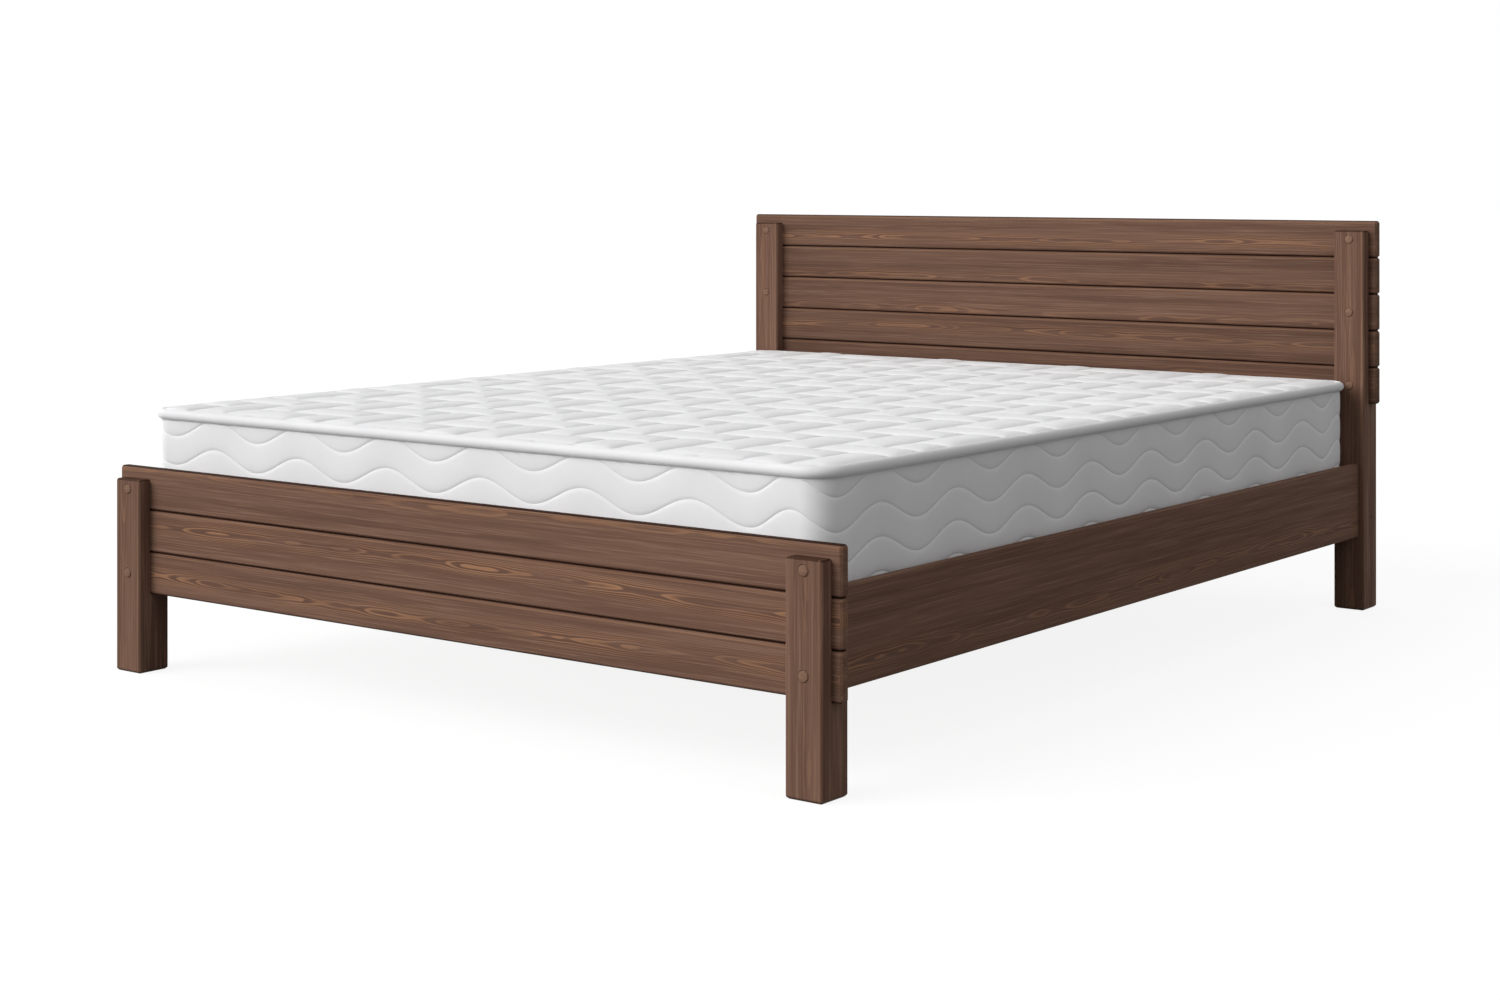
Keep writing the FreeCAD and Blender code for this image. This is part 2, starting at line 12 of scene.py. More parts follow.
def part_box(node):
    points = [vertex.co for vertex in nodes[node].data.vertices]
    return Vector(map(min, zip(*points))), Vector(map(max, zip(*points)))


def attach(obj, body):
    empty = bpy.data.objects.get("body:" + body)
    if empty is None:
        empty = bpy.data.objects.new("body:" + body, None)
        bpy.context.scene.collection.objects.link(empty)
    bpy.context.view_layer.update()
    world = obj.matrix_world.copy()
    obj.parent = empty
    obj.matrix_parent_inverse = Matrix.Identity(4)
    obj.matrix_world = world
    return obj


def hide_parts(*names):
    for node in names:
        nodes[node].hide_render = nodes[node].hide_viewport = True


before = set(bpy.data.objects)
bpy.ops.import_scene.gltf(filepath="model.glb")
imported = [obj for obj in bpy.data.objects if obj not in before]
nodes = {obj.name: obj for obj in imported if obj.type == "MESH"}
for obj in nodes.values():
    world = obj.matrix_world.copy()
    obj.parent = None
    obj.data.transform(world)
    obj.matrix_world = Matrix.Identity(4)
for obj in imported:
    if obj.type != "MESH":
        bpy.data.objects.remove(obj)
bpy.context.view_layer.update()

mm = 0.001
X, Y, Z = range(3)
weld_reach = 0.01 * mm
bevel_segments = 2
bevel_degrees = 25
white = (1.0, 1.0, 1.0, 1.0)

# Wood: its rings, and the figure that they draw on a sawn face
board_height = 80 * mm
ring_spacing = 2.1 * mm
ring_ripple = 0.8
pith_wander = 35 * mm
figure_core = 6 * mm
grain_depth = 0.5 * mm
grain_shift = 7.31
early_dark_share = 0.55
streak_height_share = 0.7
wood_specular = 0.02
tone_gamma = 2.3

# Noise in the wood: its scales along the grain, across it and behind the face, then shift, detail, roughness
wood_clouds = {
    "wander": ((1.2, 0, 0), 0.0, 1.0, 0.5),
    "swell": ((3.4, 0, 0), 3.3, 2.0, 0.5),
    "ripple": ((13, 50, 50), 5.1, 2.0, 0.5),
    "patch": ((5, 30, 0), 7.7, 1.0, 0.5),
    "band": ((1.0, 55, 40), 11.0, 2.0, 0.5),
    "streak": ((5, 470, 120), 13.0, 3.0, 0.65),
    "pore": ((9, 800, 300), 17.0, 1.0, 0.5),
}

# Lines on the wood: painted shade along the board edges for the shade in the grooves between boards, painted
# highlights where rounded edges catch light, and darker top and foot ends of the legs. A strength below zero
# makes a line lighter than the wood round it
line_fade = 0.6 * mm
groove_shade_half = 1.7 * mm
groove_shade_strength = 0.95
board_highlight_drop = 5.5 * mm
board_highlight_half = 0.9 * mm
board_highlight_strength = -0.4
leg_end_half = 3 * mm
leg_top_strength = 0.75
leg_foot_strength = 0.6
leg_highlight_inset = 6.5 * mm
leg_highlight_half = 1.3 * mm
leg_highlight_strength = -0.22

# Seeds of the grain, and where the figure lies on legs, rails, slats and plugs
board_seeds = {"foot": 1.7, "head": 20.4}
leg_seeds = {"foot": 41.0, "head": 52.0}
leg_seed_step = 3.7
leg_figure_shifts = {"left": -12 * mm, "right": 6 * mm}
rail_seeds = {"left": 60.0, "right": 62.0}
rail_figure_rise = 34 * mm
slat_count = 14
slat_seed = 80.0
slat_seed_step = 2.9
slat_figure_sway = 12 * mm
slat_sway_turn = 2.1
plug_figure_height = 790 * mm
plug_figure_face = -1060 * mm

# Plugs
plug_sides = 40
plug_dome = 2 * mm
plug_dome_steps = 7
plug_brim_inset = 0.7 * mm
plug_collar = 1.5 * mm
plug_tip_radius = 0.15 * mm
plug_brim_share = 0.3

# Screws
screw_sides = 16
shank_radius = 2 * mm
head_height = 2.2 * mm
recess_share = 0.7
thread_pitch = 1.8 * mm
thread_root_share = 0.72
least_turns = 4
unthreaded_length = 8 * mm
tip_length = 4 * mm
tip_radius = 0.2 * mm
tip_base_share = 0.6
neck_share = 0.8
cone_neck = 1.4 * mm
cone_rim_share = 0.97
cone_rim_low = 0.25 * mm
cone_rim_high = 0.05 * mm
pan_base_share = 0.95
pan_rim_rise = 0.5 * mm
pan_top_share = 0.93
pan_top_drop = 0.8 * mm
recess_arm_share = 0.72
recess_half_share = 0.16
recess_floor_share = 0.8
recess_depth_share = 0.5
end_slice = 0.2 * mm

# Levelling foot
pad_sides = 32
pad_bevel = 2 * mm
pad_rim_low = 1.5 * mm
pad_rim_high = 4 * mm
pad_top = 6 * mm
pad_neck = 7 * mm
stud_radius = 4 * mm
stud_root = 3.4 * mm
stud_half_pitch = 0.75 * mm
stud_steps = 60

# Quilted top of the mattress. The marks are millimetres from a seam, or from the edge
quilt_square = 88 * mm
quilt_start = Vector((5 * mm, -2 * mm))
quilt_rise = 2.5 * mm
quilt_crease = 3.7 * mm
crease_width = 6.5 * mm
quilt_marks = [0, 1.5, 3.5, 6.5, 11, 18, 28, 44, 60, 70, 77, 81.5, 84.5, 86.5]
across_gain = 2
along_gain = 1.2
uneven_share = 0.12
uneven_column_step = 3.1
uneven_row_step = 5.7
uneven_layer = 0.5
edge_marks = [0, 1.5, 3.5, 6, 9, 13, 18]
edge_zone = 20 * mm
edge_roll = 10 * mm
edge_drop = 1.5 * mm
edge_swell = 22 * mm
edge_share = 0.45
seam_drop = 2.2 * mm
top_crown = 0.5 * mm

# Border of the mattress: stitch lines in waves, and the puffs between them
wave_length = 228.3 * mm
wave_count = 32
wave_rise = 35 * mm
wave_start = 136 * mm
wave_steps = 28
corner_lead = 92 * mm
corner_ramp = 150 * mm
line_pitch = 54.6 * mm
line_drop = 12.5 * mm
line_count = 4
line_shares = [
    0.0, 0.012, 0.03, 0.055, 0.09, 0.14, 0.22, 0.34, 0.5, 0.66, 0.78, 0.86, 0.91, 0.945, 0.97, 0.988,
]
puff_depth = 2.4 * mm
upper_roll = 3.2 * mm
upper_roll_share = 0.55
lower_roll = 2.6 * mm
lower_roll_share = 0.5
wide_roll = 12 * mm
border_inset = 7.5 * mm
border_tuck = 3 * mm
border_wall = 14 * mm

# Corners, piping and underside of the mattress. under_edge is insets and heights in millimetres
corner_radius = 54 * mm
lower_corner_radius = corner_radius - 3 * mm
least_corner_steps = 12
pipe_sides = 20
pipe_step = 25 * mm
pipe_swell_share = 0.02
pipe_fast_wave = 31
pipe_slow_wave = 13
pipe_wave_shift = 1
under_step = 40 * mm
under_edge = [(0, 7), (1.5, 3), (5, 0.8), (12, 0)]

# Lamps: strength, direction and spread in degrees
lamps = {
    "key": (2.75, Vector((0.42, 0.70, -0.44)), 50),
    "left": (1.6, Vector((1.0, 0.05, -0.15)), 35),
    "right": (0.55, Vector((-0.6, 0.15, -0.78)), 60),
    "back": (0.3, Vector((0.45, -0.7, -0.5)), 60),
}

# Sky and floor. What the camera sees of the floor is floor_share of the light on it, plus floor_glow
sky_strength = 0.25
floor_half = 60.0
floor_tone = (0.22, 0.22, 0.22, 1.0)
floor_glow = 0.88
floor_share = 0.16

# Camera, upright and fitted to the photograph, with its yaw in degrees
camera_place = Vector((2.91243, -4.01801, 0.94239))
camera_yaw = 37.2712
camera_focal_px = 2408.27
camera_shift = Vector((0.01106, -0.2142))
camera_reach = 200.0
photo_width_px = 1500
sensor_width = 36.0


class Graph:
    """The nodes of a material or world, put together by short calls. A value is a constant or a socket."""

    def __init__(self, owner):
        self.owner = owner
        self.owner.use_nodes = True
        self.tree = self.owner.node_tree
        self.tree.nodes.clear()

    def add(self, kind, inputs=(), **settings):
        node = self.tree.nodes.new("ShaderNode" + kind)
        for key, value in settings.items():
            setattr(node, key, value)
        for key, value in dict(inputs).items():
            self.put(node.inputs[key], value)
        return node

    def put(self, socket, value):
        if isinstance(value, bpy.types.NodeSocket):
            self.tree.links.new(value, socket)
        else:
            socket.default_value = value

    def math(self, operation, *values):
        node = self.add("Math", operation=operation)
        for socket, value in zip(node.inputs, values):
            self.put(socket, value)
        return node.outputs[0]

    def plus(self, first, second):
        return self.math("ADD", first, second)

    def minus(self, first, second):
        return self.math("SUBTRACT", first, second)

    def times(self, first, second):
        return self.math("MULTIPLY", first, second)

    def absolute(self, value):
        return self.math("ABSOLUTE", value)

    def vector(self, x, y, z):
        return self.add("CombineXYZ", {0: x, 1: y, 2: z}).outputs[0]

    def noise(self, vector, scale=1.0, detail=2.0, rough=0.5):
        inputs = {"Vector": vector, "Scale": scale, "Detail": detail, "Roughness": rough}
        return self.add("TexNoise", inputs).outputs[0]

    def ramp(self, value, low, high, to_low=0.0, to_high=1.0):
        inputs = {0: value, 1: low, 2: high, 3: to_low, 4: to_high}
        return self.add("MapRange", inputs, interpolation_type="SMOOTHSTEP").outputs[0]

    def mix(self, factor, first, second, blend="MIX"):
        """Inputs 6 and 7 and output 2 are the colours of a Mix node."""
        node = self.add("Mix", data_type="RGBA", blend_type=blend)
        self.put(node.inputs[0], factor)
        self.put(node.inputs[6], first)
        self.put(node.inputs[7], second)
        return node.outputs[2]

    def place(self):
        """The object's own coordinates, as three sockets."""
        coordinates = self.add("TexCoord").outputs["Object"]
        return self.add("SeparateXYZ", {0: coordinates}).outputs

    def seen(self):
        """1 for the camera's own rays, and for those that reflect or pass through to this surface, else 0."""
        path = self.add("LightPath").outputs
        seen = self.math("MAXIMUM", path["Is Camera Ray"], path["Is Glossy Ray"])
        return self.math("MAXIMUM", seen, path["Is Transmission Ray"])

    def finish(self, shader, output="OutputMaterial"):
        self.add(output, {"Surface": shader})
        return self.owner


def clamp(value):
    """The value, kept from 0 to 1."""
    return min(1.0, max(0.0, value))


def third_axis(first, second):
    """The axis that is neither of the two."""
    return X + Y + Z - first - second


def neighbours(count):
    """Each place in a closed loop, with the place after it."""
    return [(place, (place + 1) % count) for place in range(count)]


def circle(sides):
    """Angles of the corners of a regular polygon."""
    return [2 * math.pi * side / sides for side in range(sides)]


def linear(red, green, blue):
    """A colour written in sRGB, 0 to 255, as Blender's linear colour."""
    shares = [channel / 255 for channel in (red, green, blue)]
    return tuple(s / 12.92 if s <= 0.04045 else ((s + 0.055) / 1.055) ** 2.4 for s in shares) + (1.0,)


# Tones of each wood: dark, middle, pale and the tan of the late wood
stained = (linear(101, 75, 63), linear(118, 90, 76), linear(134, 105, 88), linear(161, 119, 89))
natural = (linear(214, 178, 128), linear(226, 194, 148), linear(234, 208, 166), linear(198, 146, 88))
plug_tones = (linear(121, 92, 76), linear(131, 102, 85), linear(142, 112, 94), linear(158, 116, 86))
# Deep brown of the dark lines: painted shade in the grooves between boards, and the darker ends of the legs
dark_line_tone = linear(40, 20, 12)


def shaded(tones, share):
    """The same tones, darker or lighter by a share of their written values."""
    return tuple(tuple(channel * share ** tone_gamma for channel in tone[:3]) + (1.0,) for tone in tones)


def wood(name, along, across, middle, face, seed, tones, figure,
         depth=18 * mm, swing=9 * mm, spread=30 * mm, stains=()):
    """Sawn pine. along and across are axes, face is the place of its front.

    The figure lies across the board at middle and fades out towards spread on each side of it. figure is
    the strength of its light late wood. depth is how far the pith lies behind the face and swing how much
    that changes along the board, which closes the rings into long pointed figures. seed picks the stretch
    of grain. The lines given last are drawn on the wood, painted shade and painted highlights among them:
    axis, place, half width, strength.
    """
    graph = Graph(bpy.data.materials.new(name))
    place = graph.place()
    run = graph.plus(place[along], seed * grain_shift)
    aside = graph.minus(place[across], middle)
    behind = graph.absolute(graph.minus(place[third_axis(along, across)], face))

    def cloud(kind):
        scales, shift, detail, rough = wood_clouds[kind]
        parts = [graph.times(value, scale) for value, scale in zip((run, aside, behind), scales)]
        parts[2] = graph.plus(parts[2], seed + shift)
        return graph.noise(graph.vector(*parts), detail=detail, rough=rough)

    wander = graph.times(graph.minus(cloud("wander"), 0.5), pith_wander)
    off = graph.plus(aside, wander)
    swell = graph.times(graph.minus(cloud("swell"), 0.5), 2 * swing)
    reach = graph.plus(graph.plus(behind, depth), swell)
    radius = graph.math("SQRT", graph.plus(graph.math("POWER", off, 2.0), graph.math("POWER", reach, 2.0)))
    ripple = cloud("ripple")
    rings = graph.plus(graph.times(radius, 1 / ring_spacing), graph.times(ripple, ring_ripple))
    share = graph.math("FRACT", rings)
    late = graph.times(graph.ramp(share, 0.38, 0.80), graph.ramp(share, 0.88, 1.0, 1.0, 0.0))
    patch = graph.ramp(cloud("patch"), 0.34, 0.62, 0.30, 1.0)
    near = graph.ramp(graph.absolute(off), figure_core, spread, 1.0, 0.12)
    shown = graph.times(graph.times(patch, near), figure)
    early = graph.times(graph.minus(1.0, late), shown)
    light = graph.times(late, shown)

    band = cloud("band")
    streak = cloud("streak")
    pore = cloud("pore")

    dark, middle_tone, pale, tan = tones
    colour = graph.mix(graph.ramp(band, 0.34, 0.66), dark, middle_tone)
    colour = graph.mix(graph.ramp(streak, 0.50, 0.66, 0.0, 0.85), colour, pale)
    colour = graph.mix(graph.ramp(streak, 0.34, 0.47, 0.65, 0.0), colour, dark)
    colour = graph.mix(graph.ramp(pore, 0.60, 0.70, 0.0, 0.45), colour, dark)
    colour = graph.mix(graph.times(early, early_dark_share), colour, dark)
    colour = graph.mix(light, colour, tan)
    # Lines of painted shade and painted highlights, and the darker leg ends: dark lines take the deep brown,
    # light ones the tan of the late wood
    for axis, spot, half_width, strength in stains:
        distance = graph.absolute(graph.minus(place[axis], spot))
        cover = graph.ramp(distance, half_width - line_fade, half_width + line_fade, abs(strength), 0.0)
        colour = graph.mix(cover, colour, dark_line_tone if strength > 0 else tan)

    height = graph.plus(graph.times(streak, streak_height_share), light)
    bump = graph.add("Bump", {"Height": height, "Strength": 0.3, "Distance": grain_depth})
    shader = graph.add("BsdfPrincipled", {
        "Base Color": colour,
        "Normal": bump.outputs[0],
        "Roughness": graph.ramp(streak, 0.3, 0.7, 0.62, 0.5),
        "Specular IOR Level": wood_specular,
    })
    return graph.finish(shader.outputs[0])


def fabric(name, colour, thread, bump_depth):
    """Closely knitted or woven white cloth: fine crossing threads and a slight unevenness."""
    graph = Graph(bpy.data.materials.new(name))
    place = graph.place()
    turns = 2 * math.pi / thread
    slant = graph.plus(place[X], place[Y])
    rise = graph.plus(graph.minus(place[X], place[Y]), place[Z])
    first = graph.math("SINE", graph.times(graph.plus(slant, place[Z]), turns))
    second = graph.math("SINE", graph.times(rise, turns))
    weave = graph.times(first, second)
    spot = graph.vector(*place)
    cloud = graph.noise(spot, scale=9.0, detail=3.0)
    lint = graph.noise(spot, scale=260.0, detail=2.0)
    tone = graph.ramp(cloud, 0.3, 0.7, 0.965, 1.0)
    tone = graph.times(tone, graph.ramp(weave, -1.0, 1.0, 0.985, 1.0))
    grey = graph.add("CombineColor", {0: tone, 1: tone, 2: tone}).outputs[0]
    height = graph.plus(weave, graph.times(lint, 1.2))
    bump = graph.add("Bump", {"Height": height, "Strength": 0.25, "Distance": bump_depth})
    shader = graph.add("BsdfPrincipled", {
        "Base Color": graph.mix(1.0, colour, grey, "MULTIPLY"),
        "Normal": bump.outputs[0],
        "Roughness": 0.85,
        "Sheen Weight": 0.08,
        "Specular IOR Level": 0.2,
    })
    return graph.finish(shader.outputs[0])


def plated_steel():
    """Bright zinc plating: cool grey, with a faint spangle and soft patches."""
    graph = Graph(bpy.data.materials.new("zinc_plate"))
    place = graph.vector(*graph.place())
    spangle = graph.noise(place, scale=180.0, detail=3.0)
    smear = graph.noise(place, scale=35.0, detail=2.0)
    bump = graph.add("Bump", {"Height": spangle, "Strength": 0.12, "Distance": 0.2 * mm})
    shader = graph.add("BsdfPrincipled", {
        "Base Color": graph.mix(graph.ramp(smear, 0.35, 0.65), linear(168, 172, 178), linear(196, 198, 202)),
        "Normal": bump.outputs[0],
        "Metallic": 1.0,
        "Roughness": graph.ramp(spangle, 0.3, 0.7, 0.26, 0.42),
    })
    return graph.finish(shader.outputs[0])


def dress(node, material):
    """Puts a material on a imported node."""
    materials = nodes[node].data.materials
    materials.clear()
    materials.append(material)


def soften(node, width):
    """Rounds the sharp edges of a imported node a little."""
    thing = nodes[node]
    weld = thing.modifiers.new("weld", "WELD")
    weld.merge_threshold = weld_reach
    bevel = thing.modifiers.new("bevel", "BEVEL")
    bevel.width = width
    bevel.segments = bevel_segments
    bevel.limit_method = "ANGLE"
    bevel.angle_limit = math.radians(bevel_degrees)
    bevel.use_clamp_overlap = False
    for polygon in thing.data.polygons:
        polygon.use_smooth = False


def dress_wood(node, edge, **grain):
    """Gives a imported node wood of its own, and rounds its edges."""
    dress(node, wood(node, **grain))
    soften(node, edge)


def new_mesh(name, points, faces, material, smooth=True):
    """A mesh object in the scene, with one material."""
    data = bpy.data.meshes.new(name)
    data.from_pydata([tuple(point) for point in points], [], faces)
    data.validate()
    for polygon in data.polygons:
        polygon.use_smooth = smooth
    data.materials.append(material)
    thing = bpy.data.objects.new(name, data)
    bpy.context.scene.collection.objects.link(thing)
    return thing


def stand_for(thing, body, slot, *replaced):
    """Gives a piece its body, and hides the nodes that it stands for. slot is not used."""
    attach(thing, body)
    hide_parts(*replaced)


# Wooden pieces, brackets and tapes


def dress_boards(panel, figures):
    """Every board of a panel has its own grain, painted shade at its edges and a painted highlight under the
    upper one.
    """
    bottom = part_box(f"{panel}_board_1")[0].z
    for row, (rise, figure, depth, swing, spread, shade) in enumerate(figures):
        node = f"{panel}_board_{row + 1}"
        edge_low = bottom + row * board_height
        edge_high = edge_low + board_height
        # Painted shade along both edges of the board, for the shade in the grooves between boards
        stains = [(Z, edge, groove_shade_half, groove_shade_strength) for edge in (edge_low, edge_high)]
        # A painted highlight just under the upper edge, where the rounded edge catches light
        stains.append((Z, edge_high - board_highlight_drop, board_highlight_half, board_highlight_strength))
        dress_wood(
            node, edge=0.8 * mm, along=X, across=Z, middle=(edge_low + edge_high) / 2 + rise * mm,
            face=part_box(node)[0].y, seed=row + board_seeds[panel], tones=shaded(stained, shade),
            figure=figure, depth=depth * mm, swing=swing * mm, spread=spread * mm, stains=stains,
        )


# For each board from the lowest up: height of the figure over the board's middle, its strength, depth of the
# pith, swing and spread of the figure, and shade. The shade is partly each board's own tone and, on the head
# boards, partly painted shade against the extra light that the mattress throws on them. Lengths are in
# millimetres
dress_boards("foot", [
    (-4, 0.75, 13, 12, 26, 1.0),
    (10, 0.85, 12, 10, 26, 1.02),
    (34, 0.45, 26, 6, 14, 1.0),
])
dress_boards("head", [
    (0, 0.35, 40, 6, 26, 0.88),
    (4, 0.65, 14, 10, 22, 0.88),
    (-30, 0.40, 30, 8, 16, 0.93),
    (-34, 0.60, 16, 9, 18, 0.91),
    (-14, 0.75, 12, 10, 22, 0.94),
])

for end, seed in leg_seeds.items():
    for side, shift in leg_figure_shifts.items():
        node = f"{end}_leg_{side}"
        low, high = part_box(node)
        seed += leg_seed_step
        # The leg is darker at its top and foot, and has a painted highlight near its right edge where the
        # rounding catches light
        stains = [
            (Z, high.z, leg_end_half, leg_top_strength),
            (Z, low.z, leg_end_half, leg_foot_strength),
            (X, high.x - leg_highlight_inset, leg_highlight_half, leg_highlight_strength),
        ]
        dress_wood(
            node, edge=0.9 * mm, along=Z, across=X, middle=(low.x + high.x) / 2 + shift, face=low.y,
            seed=seed, tones=stained, figure=0.26, depth=30 * mm, swing=5 * mm, spread=16 * mm, stains=stains,
        )

for side, seed in rail_seeds.items():
    node = f"side_rail_{side}"
    low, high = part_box(node)
    dress_wood(
        node, edge=0.8 * mm, along=Y, across=Z, middle=low.z + rail_figure_rise,
        face=high.x if side == "right" else low.x, seed=seed, tones=stained, figure=0.6,
        depth=20 * mm, swing=10 * mm, spread=34 * mm,
    )

low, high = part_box("head_cross_rail")
dress_wood(
    "head_cross_rail", edge=0.6 * mm, along=X, across=Z, middle=(low.z + high.z) / 2, face=low.y, seed=71.0,
    tones=stained, figure=0.4,
)

for index in range(slat_count):
    node = f"slat_{index + 1:02d}"
    low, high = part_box(node)
    middle = (low.y + high.y) / 2 + slat_figure_sway * math.sin(index * slat_sway_turn)
    dress_wood(
        node, edge=0.6 * mm, along=X, across=Y, middle=middle, face=high.z,
        seed=slat_seed + slat_seed_step * index, tones=natural, figure=0.6, depth=30 * mm, swing=10 * mm,
    )

for node, along, across, seed in (
    ("ledger_left", Y, Z, 109.0), ("ledger_right", Y, Z, 110.0), ("centre_beam", Y, Z, 109.0),
    ("centre_leg", Z, X, 109.0),
):
    low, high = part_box(node)
    dress_wood(
        node, edge=0.5 * mm, along=along, across=across, middle=(low[across] + high[across]) / 2,
        face=low[third_axis(along, across)], seed=seed, tones=natural, figure=0.5, depth=40 * mm,
    )

low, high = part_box("cross_rail_dowels")
beech = wood(
    "dowel_beech", along=X, across=Z, middle=(low.z + high.z) / 2, face=low.y, seed=120.0, tones=natural,
    figure=0.2, depth=50 * mm,
)
dress("cross_rail_dowels", beech)

steel = plated_steel()
for node in ("foot_bracket_left", "foot_bracket_right", "head_bracket_left", "head_bracket_right",
             "beam_hanger_foot", "beam_hanger_head", "centre_leg_stud"):
    dress(node, steel)
webbing = fabric("webbing", linear(226, 224, 216), thread=2.2 * mm, bump_depth=0.4 * mm)
for side in ("left", "right"):
    dress(f"slat_tape_{side}", webbing)


# Fasteners


def islands(node):
    """Lowest and highest corner and all points of each separate solid of a node."""
    mesh = bmesh.new()
    mesh.from_mesh(nodes[node].data)
    bmesh.ops.remove_doubles(mesh, verts=mesh.verts, dist=weld_reach)
    left = set(mesh.verts)
    found = []
    while left:
        stack = [left.pop()]
        group = []
        while stack:
            vertex = stack.pop()
            group.append(vertex.co.copy())
            for edge in vertex.link_edges:
                other = edge.other_vert(vertex)
                if other in left:
                    left.remove(other)
                    stack.append(other)
        low = Vector([min(point[axis] for point in group) for axis in (X, Y, Z)])
        high = Vector([max(point[axis] for point in group) for axis in (X, Y, Z)])
        found.append((low, high, group))
    mesh.free()
    found.sort(key=lambda item: tuple(round(value, 5) for value in item[0]))
    return found


def spun(profile, sides, closed_top=True):
    """Points and faces of a profile of (radius, height) spun about Z, closed at its foot."""
    points = []
    faces = []
    for radius, height in profile:
        for angle in circle(sides):
            points.append(Vector((radius * math.cos(angle), radius * math.sin(angle), height)))
    for row in range(len(profile) - 1):
        lower = row * sides
        upper = lower + sides
        for side, after in neighbours(sides):
            faces.append((lower + side, lower + after, upper + after, upper + side))
    faces.append(tuple(reversed(range(sides))))
    if closed_top:
        last = (len(profile) - 1) * sides
        faces.append(tuple(range(last, last + sides)))
    return points, faces


def add_part(points, faces, part_points, part_faces):
    """Adds one part to the points and faces of a larger mesh."""
    start = len(points)
    points.extend(part_points)
    faces.extend(tuple(start + index for index in face) for face in part_faces)


def domed_plugs(name, node, material):
    """Round plugs with a low dome, one over each plug of the node, joined in one object."""
    points = []
    faces = []
    turn = Matrix.Rotation(math.pi / 2, 4, "X")
    for low, high, _ in islands(node):
        centre = (low + high) / 2
        radius = (high.x - low.x) / 2
        flush = high.y - low.y - plug_dome
        brim = radius - plug_brim_inset
        profile = [
            (radius, 0.0),
            (radius, flush - plug_collar),
            (brim, flush - plug_collar),
            (brim, flush + plug_brim_share * plug_dome),
        ]
        for step in range(1, plug_dome_steps + 1):
            angle = math.pi / 2 * step / plug_dome_steps
            rise_share = plug_brim_share + (1 - plug_brim_share) * math.sin(angle)
            profile.append((max(brim * math.cos(angle), plug_tip_radius), flush + plug_dome * rise_share))
        ring_points, ring_faces = spun(profile, plug_sides)
        back = Vector((centre.x, high.y, centre.z))
        add_part(points, faces, [back + turn @ point for point in ring_points], ring_faces)
    return new_mesh(name, points, faces, material)


plug_wood = wood(
    "plug_wood", along=X, across=Z, middle=plug_figure_height, face=plug_figure_face, seed=131.0,
    tones=plug_tones, figure=0.3, depth=60 * mm,
)
stand_for(domed_plugs("foot_plug_caps", "foot_plugs", plug_wood), "frame", "stained_pine", "foot_plugs")
stand_for(domed_plugs("head_plug_caps", "head_plugs", plug_wood), "frame", "stained_pine", "head_plugs")


def cross_recess(radius, sides):
    """A flat disc at height 0 with a cross cut into it, as points and faces."""
    mesh = bmesh.new()
    rim = [(radius * math.cos(angle), radius * math.sin(angle), 0.0) for angle in circle(sides)]
    outer = [mesh.verts.new(point) for point in rim]
    arm = radius * recess_arm_share
    half = radius * recess_half_share
    corners = []
    for quarter in range(4):
        turn = Matrix.Rotation(quarter * math.pi / 2, 2)
        corners += [turn @ Vector(spot) for spot in ((half, half), (half, arm), (-half, arm))]
    inner = [mesh.verts.new((spot.x, spot.y, 0.0)) for spot in corners]
    edges = []
    for loop in (outer, inner):
        edges += [mesh.edges.new((loop[k], loop[after])) for k, after in neighbours(len(loop))]
    bmesh.ops.triangle_fill(mesh, use_beauty=True, edges=edges)
    depth = radius * recess_depth_share
    sunk = [spot * recess_floor_share for spot in corners]
    floor = [mesh.verts.new((spot.x, spot.y, -depth)) for spot in sunk]
    for k, after in neighbours(len(inner)):
        mesh.faces.new((inner[k], inner[after], floor[after], floor[k]))
    mesh.faces.new(floor)
    mesh.verts.index_update()
    points = [vertex.co.copy() for vertex in mesh.verts]
    faces = [tuple(vertex.index for vertex in face.verts) for face in mesh.faces]
    mesh.free()
    return points, faces


def end_radius(group, middle, axis, end):
    """How far a screw's points reach from its middle line near one of its ends."""
    near = [point for point in group if abs(point[axis] - end) < end_slice]
    others = [k for k in (X, Y, Z) if k != axis]
    return max(max(abs(point[k] - middle[k]) for k in others) for point in near)


def screw_profile(length, head, sunk):
    """Radii and heights of a screw from its tip to the edge of its recess. Its top is at height 0."""
    start = tip_length - length
    profile = [(tip_radius, -length), (shank_radius * tip_base_share, start)]
    turns = max(least_turns, int((length - unthreaded_length) / thread_pitch))
    for turn in range(turns):
        height = start + turn * thread_pitch
        profile.append((shank_radius * thread_root_share, height))
        profile.append((shank_radius, height + thread_pitch / 2))
    neck = shank_radius * neck_share
    if sunk:
        rim = head * cone_rim_share
        profile += [(neck, -head_height - cone_neck), (rim, -cone_rim_low), (rim, -cone_rim_high)]
    else:
        profile += [(neck, -head_height), (head * pan_base_share, -head_height)]
        profile += [(head, pan_rim_rise - head_height), (head * pan_top_share, -pan_top_drop)]
    profile.append((head * recess_share, 0.0))
    return profile


